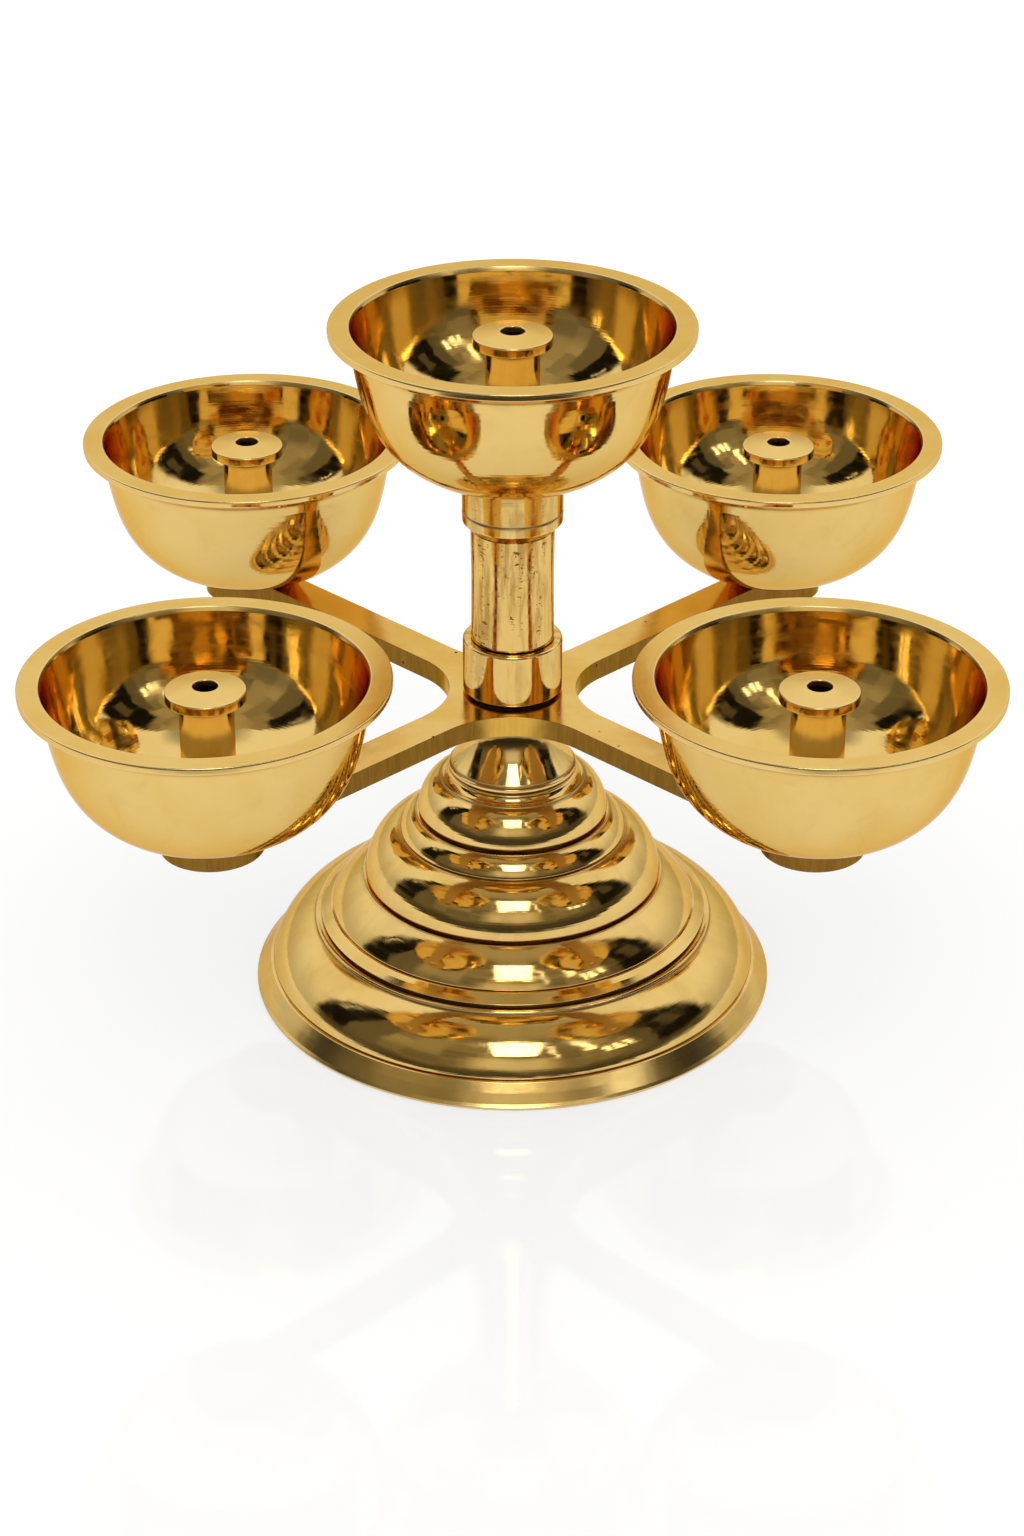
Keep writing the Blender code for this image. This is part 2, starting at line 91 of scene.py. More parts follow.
def round_corners(points):
    """The profile with its corners made into arcs, and (index, bend in degrees) per corner.

    The bend is positive in an inner corner.
    """
    line, corners = [], []
    for i, (radius, height, *rest) in enumerate(points):
        corner = Vector((radius, height))
        before = Vector(points[i - 1][:2]) - corner
        after = Vector(points[(i + 1) % len(points)][:2]) - corner
        if before.length < 1e-9 or after.length < 1e-9:
            continue
        turn = math.pi - before.angle(after)
        inner = before.y * after.x - before.x * after.y > 0
        bend = math.degrees(turn) * (1 if inner else -1)
        rounding = rest[0] if rest else 0.0
        if rounding <= 0 or turn < 0.05:
            corners.append((len(line), bend))
            line.append((corner.x, corner.y))
            continue
        reach = min(rounding * math.tan(turn / 2), 0.45 * before.length, 0.45 * after.length)
        start = corner + before.normalized() * reach
        end = corner + after.normalized() * reach
        steps = max(2, int(math.degrees(turn) / 14))
        corners.append((len(line) + steps // 2, bend))
        for k in range(steps + 1):
            share = k / steps
            arc = start * (1 - share) ** 2 + corner * 2 * share * (1 - share) + end * share**2
            line.append((arc.x, arc.y))
    return line, corners


def densify(line, step):
    """Extra points on long runs, and for each point its index in the given line, or None."""
    made, source = [], []
    for i, (radius, height) in enumerate(line):
        next_radius, next_height = line[(i + 1) % len(line)]
        length = math.hypot(next_radius - radius, next_height - height)
        cuts = [0.0]
        if length > 0.5:
            near = [cut for cut in END_CUTS if cut < 0.4 * length]
            first = near[-1]
            middle = length - 2 * first
            parts = max(1, int(math.ceil(middle / step)))
            cuts += near
            cuts += [first + middle * k / parts for k in range(1, parts + 1)]
            cuts += [length - cut for cut in reversed(near)][1:]
        for cut in cuts:
            if cut < length - 1e-6:
                share = cut / length
                made.append(
                    (
                        radius + (next_radius - radius) * share,
                        height + (next_height - height) * share,
                    )
                )
                source.append(i if cut == 0.0 else None)
    return made, source


def refine_thread(line, source, thread):
    """Extra points on the threaded wall, seven to a pitch."""
    finer, kept = [], []
    for i, (radius, z) in enumerate(line):
        finer.append((radius, z))
        kept.append(source[i])
        next_radius, next_z = line[(i + 1) % len(line)]
        upright = abs(radius - next_radius) < 0.01 and radius > 1
        if upright and thread.low <= min(z, next_z) and max(z, next_z) <= thread.high:
            parts = max(1, int(abs(next_z - z) / (thread.pitch / 7)))
            for k in range(1, parts):
                finer.append(
                    (radius + (next_radius - radius) * k / parts, z + (next_z - z) * k / parts)
                )
                kept.append(None)
    return finer, kept


def wear_along(line, source, corners):
    """Dirt in inner corners and brightness on outer edges, 0 to 1 at each profile point."""
    points = np.array(line)
    lengths = np.hypot(*(np.roll(points, -1, axis=0) - points).T)
    along = np.concatenate([[0.0], np.cumsum(lengths)[:-1]])
    total = lengths.sum()
    place = {index: along[i] for i, index in enumerate(source) if index is not None}
    dirt, edge = np.zeros(len(line)), np.zeros(len(line))
    for index, bend in corners:
        if abs(bend) < 16 or index not in place:
            continue
        away = np.abs(along - place[index])
        away = np.minimum(away, total - away)
        if bend > 0:
            dirt += min(1.0, bend / 60) * np.exp(-((away / 0.55) ** 2))
        else:
            edge += min(1.0, -bend / 60) * np.exp(-((away / 0.4) ** 2))
    return np.clip(dirt, 0, 1), np.clip(edge, 0, 1)


def threaded_radius(radius, z, angle, thread):
    """The radius on a helical groove that fades out at both ends of the thread."""
    if not thread or radius <= 1 or not thread.low < z < thread.high:
        return radius
    ends = min(1.0, (z - thread.low) / thread.pitch, (thread.high - z) / thread.pitch)
    phase = (z / thread.pitch - angle / (2 * math.pi)) % 1.0
    return radius - thread.depth * max(0.0, ends) * abs(2 * phase - 1)


def made_mesh(name, shape):
    mesh = bpy.data.meshes.new(name)
    shape.to_mesh(mesh)
    shape.free()
    obj = bpy.data.objects.new(name, mesh)
    lamp.objects.link(obj)
    return obj


def lathe(name, points, segments, centre=(0.0, 0.0), step=1.6, thread=None):
    """A turned piece from a closed profile. A point on the axis makes a pole."""
    line, corners = round_corners(points)
    line, source = densify(line, step)
    if thread:
        line, source = refine_thread(line, source, thread)
    dirt, edge = wear_along(line, source, corners)
    shape = bmesh.new()
    dirt_layer = shape.verts.layers.float.new("dirt")
    edge_layer = shape.verts.layers.float.new("edge")
    rings = []
    for i, (profile_radius, z) in enumerate(line):
        ring = []
        for j in range(1 if profile_radius < 1e-6 else segments):
            angle = 2 * math.pi * j / segments
            radius = threaded_radius(profile_radius, z, angle, thread)
            vert = shape.verts.new(
                (radius * math.cos(angle) * MM, radius * math.sin(angle) * MM, z * MM)
            )
            vert[dirt_layer] = dirt[i]
            vert[edge_layer] = edge[i]
            ring.append(vert)
        rings.append(ring)
    for i, ring in enumerate(rings):
        after = rings[(i + 1) % len(rings)]
        if len(ring) == 1 and len(after) == 1:
            continue
        for j in range(segments):
            k = (j + 1) % segments
            if len(ring) == 1:
                shape.faces.new((ring[0], after[j], after[k]))
            elif len(after) == 1:
                shape.faces.new((ring[j], after[0], ring[k]))
            else:
                shape.faces.new((ring[j], after[j], after[k], ring[k]))
    if shape.calc_volume(signed=True) < 0:
        bmesh.ops.reverse_faces(shape, faces=shape.faces)
    for face in shape.faces:
        face.smooth = True
    obj = made_mesh(name, shape)
    obj.location = (centre[0] * MM, centre[1] * MM, 0.0)
    return obj


# Runs of a profile, from the upper inner point to the lower outer point
def dome(top_r, top_z, foot_r, foot_z, count, bulge):
    """Convex run: bulge 0 is a cone, 1 a quarter-ellipse."""
    made = []
    for i in range(count + 1):
        angle = 0.5 * math.pi * i / count
        share = i / count
        round_r = top_r + (foot_r - top_r) * math.sin(angle)
        round_z = foot_z + (top_z - foot_z) * math.cos(angle)
        cone_r = top_r + (foot_r - top_r) * share
        cone_z = top_z + (foot_z - top_z) * share
        made.append(
            (round_r * bulge + cone_r * (1 - bulge), round_z * bulge + cone_z * (1 - bulge))
        )
    return made


def cove(top_r, top_z, foot_r, foot_z, count):
    """Concave quarter."""
    made = []
    for i in range(count + 1):
        angle = 0.5 * math.pi * i / count
        made.append(
            (
                foot_r - (foot_r - top_r) * math.cos(angle),
                top_z - (top_z - foot_z) * math.sin(angle),
            )
        )
    return made


def flare(top_r, top_z, foot_r, foot_z, count, power):
    """Run whose radius grows with a power of the depth."""
    return [
        (top_r + (foot_r - top_r) * (i / count) ** power, top_z + (foot_z - top_z) * i / count)
        for i in range(count + 1)
    ]


def washer_points(low_z, high_z, hole_r, rim_r, hole_round, top_round, foot_round):
    """Flat ring; the roundings are those of the hole and of the upper and lower rim edges."""
    return [
        (hole_r, high_z, hole_round), (rim_r, high_z, top_round),
        (rim_r, low_z, foot_round), (hole_r, low_z, hole_round),
    ]


def replace(piece, node, body, look):
    piece.data.materials.clear()
    piece.data.materials.append(look)
    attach(piece, body)
    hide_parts(node)


# ---------------------------------------------------------------- cuts and modifiers
def applied(obj):
    """Modifiers baked into the mesh."""
    bpy.context.view_layer.update()
    depsgraph = bpy.context.evaluated_depsgraph_get()
    mesh = bpy.data.meshes.new_from_object(obj.evaluated_get(depsgraph))
    obj.modifiers.clear()
    obj.data = mesh


def cylinder(name, radius, depth, segments, matrix):
    shape = bmesh.new()
    bmesh.ops.create_cone(
        shape, cap_ends=True, segments=segments, radius1=radius * MM, radius2=radius * MM,
        depth=depth * MM, matrix=matrix,
    )
    return made_mesh(name, shape)


def cut(obj, tool, operation="DIFFERENCE"):
    boolean = obj.modifiers.new("cut", "BOOLEAN")
    boolean.operation = operation
    boolean.solver = "EXACT"
    boolean.object = tool
    applied(obj)
    bpy.data.objects.remove(tool, do_unlink=True)


def smooth(obj):
    for face in obj.data.polygons:
        face.use_smooth = True


# ---------------------------------------------------------------- node trees
class Wire:
    """An output socket that can be used in sums; as a mask it mixes between off and on."""

    def __init__(self, nodes, socket):
        self.nodes = nodes
        self.socket = socket

    def __add__(self, other):
        return self.math("ADD", other)

    def __radd__(self, other):
        return self.nodes.math("ADD", other, self)

    def __sub__(self, other):
        return self.math("SUBTRACT", other)

    def __rsub__(self, other):
        return self.nodes.math("SUBTRACT", other, self)

    def __mul__(self, other):
        return self.math("MULTIPLY", other)

    def __truediv__(self, other):
        return self.math("DIVIDE", other)

    def math(self, operation, other=0.0, clamp=False):
        return self.nodes.math(operation, self, other, clamp)

    def ramp(self, low, high):
        """Smooth 0 to 1 as the value goes from low to high."""
        inputs = {"Value": self, "From Min": low, "From Max": high}
        return self.nodes.wire("ShaderNodeMapRange", inputs, interpolation_type="SMOOTHSTEP")

    def within(self, low, high, outside, inside=0.0):
        """1 between low and high, fading over a width outside and inside each end."""
        rise = self.ramp(low=low - outside, high=low + inside)
        return rise * self.ramp(low=high + outside, high=high - inside)

    def mix(self, off, on):
        """Number mix."""
        return self.nodes.wire(
            "ShaderNodeMix", {"Factor": self, "A": off, "B": on}, "Result", data_type="FLOAT"
        )

    def blend(self, off, on):
        """Colour mix."""
        return self.nodes.wire("ShaderNodeMix", {0: self, 6: off, 7: on}, 2, data_type="RGBA")


class Nodes:
    """Short ways to build a node tree."""

    def __init__(self, tree):
        self.tree = tree
        tree.nodes.clear()

    def add(self, kind, inputs=None, **settings):
        made = self.tree.nodes.new(kind)
        for key, value in settings.items():
            setattr(made, key, value)
        for key, value in (inputs or {}).items():
            self.set(made.inputs[key], value)
        return made

    def set(self, socket, value):
        if isinstance(value, Wire):
            self.tree.links.new(value.socket, socket)
        elif socket.type == "RGBA":
            socket.default_value = (*value, 1.0)
        else:
            socket.default_value = value

    def wires(self, kind, outputs, inputs=None, **settings):
        made = self.add(kind, inputs, **settings)
        return [Wire(self, made.outputs[key]) for key in outputs]

    def wire(self, kind, inputs=None, output=0, **settings):
        return self.wires(kind, [output], inputs, **settings)[0]

    def math(self, operation, first, second, clamp=False):
        inputs = {0: first, 1: second, 2: 0.0}
        return self.wire("ShaderNodeMath", inputs, operation=operation, use_clamp=clamp)

    def vector(self, x, y, z):
        return self.wire("ShaderNodeCombineXYZ", {0: x, 1: y, 2: z})

    def split(self, vector):
        return self.wires("ShaderNodeSeparateXYZ", "XYZ", {0: vector})

    def noise(self, vector, scale, detail, rough, distort=0.0):
        inputs = {
            "Vector": vector, "Scale": scale, "Detail": detail, "Roughness": rough,
            "Distortion": distort,
        }
        return self.wire("ShaderNodeTexNoise", inputs)

    def millimetres(self):
        """The object's own coordinates in millimetres."""
        coord = self.wire("ShaderNodeTexCoord", output="Object")
        inputs = {0: coord, "Scale": 1000.0}
        return self.wire("ShaderNodeVectorMath", inputs, operation="SCALE")

    def shifted(self, place, seed):
        """The place moved by the seed, so that each piece has its own noise."""
        inputs = {0: place, 1: (seed * 37.1, seed * 11.7, seed * 23.3)}
        return self.wire("ShaderNodeVectorMath", inputs, operation="ADD")

    def pits(self, point, share, scale, size):
        """Mask of round pits in a share of the cells of a pattern."""
        inputs = {"Vector": point, "Scale": scale}
        distance, tone = self.wires("ShaderNodeTexVoronoi", ("Distance", "Color"), inputs)
        chance = self.wire("ShaderNodeSeparateColor", {0: tone})
        chosen = chance.ramp(low=1.0 - share, high=1.0 - share + 0.02)
        return chosen * distance.ramp(low=size, high=size - 0.05)

    def relief(self, layers):
        """Stacked bumps from (height, depth in metres[, strength])."""
        normal = None
        for height, depth, *strength in layers:
            inputs = {"Strength": strength[0] if strength else 1.0, "Distance": depth}
            inputs["Height"] = height
            if normal:
                inputs["Normal"] = normal
            normal = self.wire("ShaderNodeBump", inputs)
        return normal

    def surface(self, inputs):
        shader = self.wire("ShaderNodeBsdfPrincipled", inputs)
        self.add("ShaderNodeOutputMaterial", {"Surface": shader})


def new_material(name):
    made = bpy.data.materials.new(name)
    made.use_nodes = True
    return made, Nodes(made.node_tree)


def distance_from_axis(x, y):
    return (x * x + y * y).math("SQRT")


# ---------------------------------------------------------------- materials
BRASS_LIGHT = (0.850, 0.600, 0.215)
BRASS_DEEP = (0.820, 0.545, 0.160)
BRASS_WORN = (0.93, 0.75, 0.42)
# painted reflection streaks
PAINTED_REFLECTION_BROWN = (0.40, 0.215, 0.045)
BRASS_GLANCE = (0.90, 0.70, 0.42)  # specular tint
TARNISH = (0.045, 0.024, 0.008)
SMUDGE_BROWN = (0.52, 0.30, 0.10)
# painted shade with some dirt, under the arm plate
SHADE_BROWN = (0.20, 0.105, 0.022)
NICK_BROWN = (0.16, 0.085, 0.022)
PIT_BLACK = (0.03, 0.018, 0.008)
CAST_LIGHT = (0.845, 0.590, 0.215)
CAST_DEEP = (0.78, 0.49, 0.13)
CAST_UNDERSIDE = (0.45, 0.28, 0.10)
# Arm sides: painted shade, and a painted sheen near the hub
SHADED_SIDE_DARK = (0.205, 0.100, 0.015)
SHADED_SIDE_LIGHT = (0.31, 0.165, 0.027)
SHEEN_SIDE_DARK = (0.68, 0.40, 0.070)
SHEEN_SIDE_LIGHT = (0.82, 0.50, 0.085)
ZINC_PALE = (0.66, 0.66, 0.64)
ZINC_YELLOW = (0.56, 0.53, 0.42)
ZINC_SPOT = (0.34, 0.30, 0.24)
LEATHER_BROWN = (0.105, 0.052, 0.026)
LEATHER_DARK = (0.052, 0.027, 0.016)
LEATHER_CREASE = (0.022, 0.012, 0.008)


def brass(
    name, seed, polish, smear, rings, waves, satin=(), pits=0.0, nicks=0.0, painted_streaks=0.0, shade=None
):
    """Mirror-polished brass with turning marks, polishing waves, smears and tarnished grooves.

    polish is the least roughness and smear what smears add to it; rings and waves scale the
    turning marks and polishing waves; pits is the share of pitted cells; nicks adds short dark
    marks; painted_streaks adds painted reflection as a darker, redder tone in tall streaks; shade
    adds painted shade with some dirt, a browning between two heights.
    """
    made, nodes = new_material(name)
    place = nodes.millimetres()
    x, y, z = nodes.split(place)
    radius = distance_from_axis(x, y)
    angle = y.math("ARCTAN2", x)
    point = nodes.shifted(place, seed)
    sine, cosine = angle.math("SINE"), angle.math("COSINE")
    dirt = nodes.wire("ShaderNodeAttribute", output="Fac", attribute_name="dirt")
    edge = nodes.wire("ShaderNodeAttribute", output="Fac", attribute_name="edge")

    def wrapped(turn, rise):
        """Point on a cylinder: turn sets the detail round the axis, rise that along it."""
        return nodes.vector(sine * turn, cosine * turn, z * rise)

    # Lines round the axis: stretched along the angle, fine across it
    around = nodes.vector(radius * 1.0 + seed * 5.3, z + sine * 0.35, cosine * 0.35)
    fine = nodes.noise(around, scale=3.2, detail=3.0, rough=0.65)
    broad = nodes.noise(around, scale=0.55, detail=2.0, rough=0.5)
    smear_place = nodes.vector(sine * 2.2, z * 0.16 + seed * 3.1, cosine * 2.2)
    smears = nodes.noise(smear_place, scale=1.6, detail=4.0, rough=0.6, distort=0.6)
    blotch = nodes.noise(point, scale=0.045, detail=3.0, rough=0.55)
    grain = nodes.noise(point, scale=1.7, detail=4.0, rough=0.7)
    ripple = nodes.noise(point, scale=0.075, detail=1.5, rough=0.4)
    ripple = ripple + nodes.noise(point, scale=0.21, detail=1.0, rough=0.4) * 0.22
    smudge = nodes.noise(point, scale=0.09, detail=4.0, rough=0.62, distort=0.9)
    smudge = smudge.ramp(low=0.52, high=0.72)

    # Patches and smudges, brown where dirt gathers, paler on worn edges
    colour = blotch.ramp(low=0.30, high=0.75).blend(off=BRASS_LIGHT, on=BRASS_DEEP)
    colour = (smudge * 0.10).blend(off=colour, on=SMUDGE_BROWN)
    held = smears.ramp(low=0.3, high=0.7).mix(off=0.75, on=1.0)
    grime = dirt.math("MULTIPLY", held, clamp=True)
    colour = (grime * 0.93).blend(off=colour, on=TARNISH)
    colour = (edge * 0.35).blend(off=colour, on=BRASS_WORN)

    rough = polish + smears.ramp(low=0.45, high=0.78) * smear
    # Painted shade with some dirt: the wall browns from shade.low up to shade.high, under the arm
    # plate
    if shade:
        shade_strength = smears.mix(off=0.7 * shade.share, on=1.1 * shade.share)
        under = z.ramp(low=shade.low, high=shade.high) * shade_strength
        colour = under.blend(off=colour, on=SHADE_BROWN)
    # Painted reflection: tall streaks of a darker, redder tone
    if painted_streaks:
        tall = nodes.noise(wrapped(turn=3.0, rise=0.035), 1.3, detail=3.0, rough=0.6, distort=0.4)
        colour = (tall.ramp(low=0.42, high=0.66) * painted_streaks).blend(off=colour, on=PAINTED_REFLECTION_BROWN)
    if nicks:
        dashes = nodes.noise(
            wrapped(turn=5.0, rise=0.85), scale=1.25, detail=3.0, rough=0.55, distort=0.5
        )
        column = nodes.noise(wrapped(turn=2.4, rise=0.03), scale=1.6, detail=2.0, rough=0.5)
        column = column.ramp(low=0.50, high=0.60) * nicks
        nick = dashes.ramp(low=0.575, high=0.625) * column
        colour = nick.blend(off=colour, on=NICK_BROWN)
        rough = rough + nick * 0.25
    rough = rough + smudge * (smear * 0.8)
    rough = rough + broad.ramp(low=0.35, high=0.75) * (0.05 * rings)
    for band in satin:
        heights = z.within(band.low, band.high, outside=0.3)
        inside = heights * radius.within(band.inner, band.outer, outside=0.3)
        rough = inside.mix(off=rough, on=band.rough + fine * 0.12)
    rough = rough + grime * 0.45

    layers = [  # height, depth in metres
        (ripple, 0.00015 * waves),
        (fine + broad * 2.5, 0.0000030 * rings),
        (grain, 0.0000016),
    ]
    if pits:
        hole = nodes.pits(point, share=pits, scale=0.16, size=0.085)
        colour = (hole * 0.95).blend(off=colour, on=PIT_BLACK)
        rough = rough + hole * 0.5
        layers.append((1.0 - hole, 0.0003))

    nodes.surface({
        "Base Color": colour,
        "Metallic": 1.0,
        "Roughness": rough.math("MINIMUM", 0.8),
        "Specular Tint": BRASS_GLANCE,
        "Normal": nodes.relief(layers),
        "Anisotropic": 0.35,
        "Tangent": nodes.wire("ShaderNodeTangent", direction_type="RADIAL", axis="Z"),
    })
    return made


def cast_brass(name, seed):
    """Flat cast brass: buffed top, file-marked sides in painted shade with a painted sheen near the
    hub, pores, rougher underside.
    """
    made, nodes = new_material(name)
    place = nodes.millimetres()
    x, y, z = nodes.split(place)
    radius = distance_from_axis(x, y)
    point = nodes.shifted(place, seed)
    facing = nodes.split(nodes.wire("ShaderNodeTexCoord", output="Normal"))[2]
    up = facing.ramp(low=0.55, high=0.9)
    down = facing.ramp(low=-0.55, high=-0.9)
    side = (1.0 - up).math("SUBTRACT", down, clamp=True)

    blotch = nodes.noise(point, scale=0.05, detail=3.0, rough=0.55)
    grain = nodes.noise(point, scale=1.1, detail=4.0, rough=0.65)
    ripple = nodes.noise(point, scale=0.09, detail=1.5, rough=0.4)
    upright = nodes.vector(x * 0.8, y * 0.8, z * 0.08)
    filed = nodes.noise(upright, scale=1.0, detail=3.0, rough=0.65)

    def strokes(across, along, offset):
        stretched = nodes.vector(across * 1.6, along * 0.11, offset)
        return nodes.noise(stretched, scale=1.0, detail=4.0, rough=0.6)

    # Each pair of opposite arms has its own stroke direction
    arm_pair = (x * y).ramp(low=-30.0, high=30.0)
    buffed = arm_pair.mix(
        off=strokes(across=x + y, along=x - y, offset=seed),
        on=strokes(across=x - y, along=x + y, offset=seed + 4.0),
    )

    # Sides carry painted shade, dark brown along the arms, and a painted golden sheen towards the
    # hub
    colour = blotch.ramp(low=0.3, high=0.75).blend(off=CAST_LIGHT, on=CAST_DEEP)
    shaded_outer_side = filed.ramp(low=0.20, high=0.90).blend(off=SHADED_SIDE_DARK, on=SHADED_SIDE_LIGHT)
    hub_sheen_side = filed.ramp(low=0.20, high=0.90).blend(off=SHEEN_SIDE_DARK, on=SHEEN_SIDE_LIGHT)
    hub_sheen_mask = (radius + blotch * 8.0).ramp(low=27.5, high=22.5)
    colour = side.blend(off=colour, on=hub_sheen_mask.blend(off=shaded_outer_side, on=hub_sheen_side))
    colour = down.blend(off=colour, on=CAST_UNDERSIDE)
    hole = nodes.pits(point, share=0.20, scale=0.19, size=0.10)
    colour = (hole * 0.95).blend(off=colour, on=PIT_BLACK)

    rough = 0.13 + buffed.ramp(low=0.35, high=0.75) * 0.12
    rough = side.mix(off=rough, on=0.16 + filed * 0.10)
    rough = down.mix(off=rough, on=0.42)
    layers = [  # height, depth in metres
        (ripple, 0.00016),
        (buffed, 0.000006),
        (filed * side, 0.000009),
        (grain, 0.000008),
        (1.0 - hole, 0.0004),
    ]
    nodes.surface({
        "Base Color": colour,
        "Metallic": 1.0,
        "Roughness": rough + hole * 0.4,
        "Specular Tint": BRASS_GLANCE,
        "Normal": nodes.relief(layers),
    })
    return made


def zinc_steel(name, seed):
    """Zinc-plated steel: pale, with slightly yellow patches and dull spots."""
    made, nodes = new_material(name)
    point = nodes.shifted(nodes.millimetres(), seed)
    patch = nodes.noise(point, scale=0.22, detail=4.0, rough=0.6)
    spots = nodes.noise(point, scale=0.9, detail=3.0, rough=0.6).ramp(low=0.58, high=0.70)
    grain = nodes.noise(point, scale=3.0, detail=3.0, rough=0.6)
    colour = patch.ramp(low=0.3, high=0.7).blend(off=ZINC_PALE, on=ZINC_YELLOW)
    nodes.surface({
        "Base Color": (spots * 0.5).blend(off=colour, on=ZINC_SPOT),
        "Metallic": 1.0,
        "Roughness": 0.26 + spots * 0.25,
        "Normal": nodes.relief([(grain, 0.000012)]),
    })
    return made


def leather(name, seed):
    """Dark oiled leather with a pebbled grain."""
    made, nodes = new_material(name)
    point = nodes.shifted(nodes.millimetres(), seed)
    cells = nodes.wire(
        "ShaderNodeTexVoronoi", {"Vector": point, "Scale": 1.1}, "Distance",
        feature="DISTANCE_TO_EDGE",
    )
    pebble = cells.ramp(low=0.0, high=0.16)
    fibre = nodes.noise(point, scale=4.0, detail=3.0, rough=0.7)
    tone = nodes.noise(point, scale=0.2, detail=3.0, rough=0.6)
    colour = tone.ramp(low=0.3, high=0.7).blend(off=LEATHER_BROWN, on=LEATHER_DARK)
    layers = [(pebble, 0.00008, 0.8), (fibre, 0.00003, 0.5)]  # height, depth, strength
    nodes.surface({
        "Base Color": (1.0 - pebble).blend(off=colour, on=LEATHER_CREASE),
        "Roughness": 0.42 + fibre * 0.2,
        "Normal": nodes.relief(layers),
    })
    return made


# ---------------------------------------------------------------- base
BASE_DRAWN_R = 77.8  # foot radius that the profile is drawn for


def base_points():
    """Stepped base: radii are scaled to the CAD foot, heights stay as drawn."""
    high = node_box("base_casting")[1]
    top = high.z
    scale = high.x / BASE_DRAWN_R
    points = [
        # top face and the flaring neck below it
        (ROD_HOLE_R, top, 0.2), (12.35, top, 0.3), (12.1, top - 0.9, 0.5), (11.3, top - 1.5, 0.8),
        *flare(11.0, 87.6, 18.1, 72.9, count=30, power=2.0),
        # ring and cove at the foot of the neck
        (17.85, 72.6), (18.3, 72.4, 0.15), (18.9, 72.1, 0.4), (18.9, 71.2, 0.4), (18.2, 70.75),
        (17.8, 70.3), *cove(18.5, 69.9, 20.9, 67.9, count=8), (21.3, 67.7, 0.15),
        # domed steps, each with a groove below it
        *dome(21.4, 67.5, 28.15, 57.7, count=22, bulge=0.74),
        (28.1, 57.3), (26.7, 57.0), (26.8, 56.2), (28.5, 56.1), (28.85, 56.05, 0.15),
        *dome(29.0, 55.85, 33.5, 50.7, count=12, bulge=0.55),
        (33.4, 50.35), (32.7, 50.15), (33.85, 49.95, 0.1),
        *dome(34.0, 49.85, 44.25, 36.6, count=26, bulge=0.80),
        (44.2, 36.2), (42.9, 35.95), (43.0, 35.2), (44.6, 35.1), (45.0, 35.05, 0.15),
        *dome(45.15, 34.9, 54.2, 25.9, count=22, bulge=0.36),
        (54.2, 25.6), (53.4, 25.4), (54.8, 25.15, 0.1),
        # sloped band, groove and bead
        (56.3, 24.25), (57.9, 23.1), (57.7, 22.8), (56.9, 22.6), (57.0, 21.9), (58.6, 21.85, 0.1),
        (59.35, 21.75, 0.35), (59.7, 21.2, 0.3), (59.4, 20.75),
        # lowest dome and the foot
        *dome(59.7, 20.6, 72.65, 7.6, count=30, bulge=0.62),
        (72.65, 7.25), (71.9, 7.0), (73.1, 6.85), (73.5, 6.75, 0.15),
        (75.3, 4.2), (77.0, 1.55, 0.6), (BASE_DRAWN_R, 0.75, 0.3), (77.6, 0.0, 0.25),
        # hollow inside, back up to the rod hole
        (74.2, 0.0, 0.2), (73.6, 1.6, 0.4), (69.5, 6.5, 1.0),
        (57.0, 17.1, 2.0), (39.5, 33.4, 2.0), (28.9, 47.7, 2.0), (21.9, 57.7, 2.0),
        (13.5, 64.0, 1.0), (ROD_HOLE_R, 64.0, 0.2),
    ]
    return [(radius * scale, *rest) for radius, *rest in points]


base_look = brass(
    "base_brass", seed=1.0, polish=0.045, smear=0.085, rings=1.3, waves=1.1, painted_streaks=0.16,
    shade=Shade(low=79.0, high=85.5, share=0.75),
    satin=[
        Satin(low=0.0, high=6.6, inner=72.6, outer=80.0, rough=0.15),
        Satin(low=89.0, high=95.0, inner=0.0, outer=13.0, rough=0.2),
    ],
)
replace(lathe("base", base_points(), 160), "base_casting", "base", base_look)

# ---------------------------------------------------------------- tie rod, washer and nut
ROD_R = 4.9
NUT_FLATS = 16.0

steel_look = zinc_steel("zinc_steel", seed=2.0)


def tie_rod():
    low, high = node_box("tie_rod")
    points = [
        (0.0, high.z), (ROD_R - 0.7, high.z, 0.1), (ROD_R, high.z - 0.8, 0.1),
        (ROD_R, low.z + 0.8, 0.1), (ROD_R - 0.7, low.z, 0.1), (0.0, low.z),
    ]
    thread = Thread(low=low.z + 0.6, high=high.z - 0.6, depth=0.62, pitch=1.5)
    return lathe("tie_rod_threaded", points, 32, step=1.0, thread=thread)


def base_washer():
    low, high = node_box("base_washer")
    points = washer_points(
        low.z, high.z, hole_r=5.4, rim_r=11.5, hole_round=0.15, top_round=0.35, foot_round=0.15
    )
    return lathe("base_washer_plain", points, 64)


def hex_nut():
    low, high = node_box("base_nut")
    height = high.z - low.z
    corner = NUT_FLATS / math.sqrt(3)
    middle = Matrix.Translation((0, 0, (low.z + high.z) / 2 * MM))
    nut = cylinder("base_nut_hex", corner, height, 6, middle)
    edge = nut.modifiers.new("edges", "BEVEL")
    edge.width = 0.35 * MM
    edge.segments = 2
    applied(nut)
    chamfer = [
        (0.0, high.z), (corner - 1.5, high.z), (corner + 0.2, high.z - 1.0),
        (corner + 0.2, low.z + 1.0), (corner - 1.5, low.z), (0.0, low.z),
    ]
    cut(nut, lathe("nut_chamfer", chamfer, 64), "INTERSECT")
    cut(nut, cylinder("nut_bore", ROD_HOLE_R, height + 4, 32, middle))
    smooth(nut)
    nut.data.set_sharp_from_angle(angle=math.radians(25))
    return nut


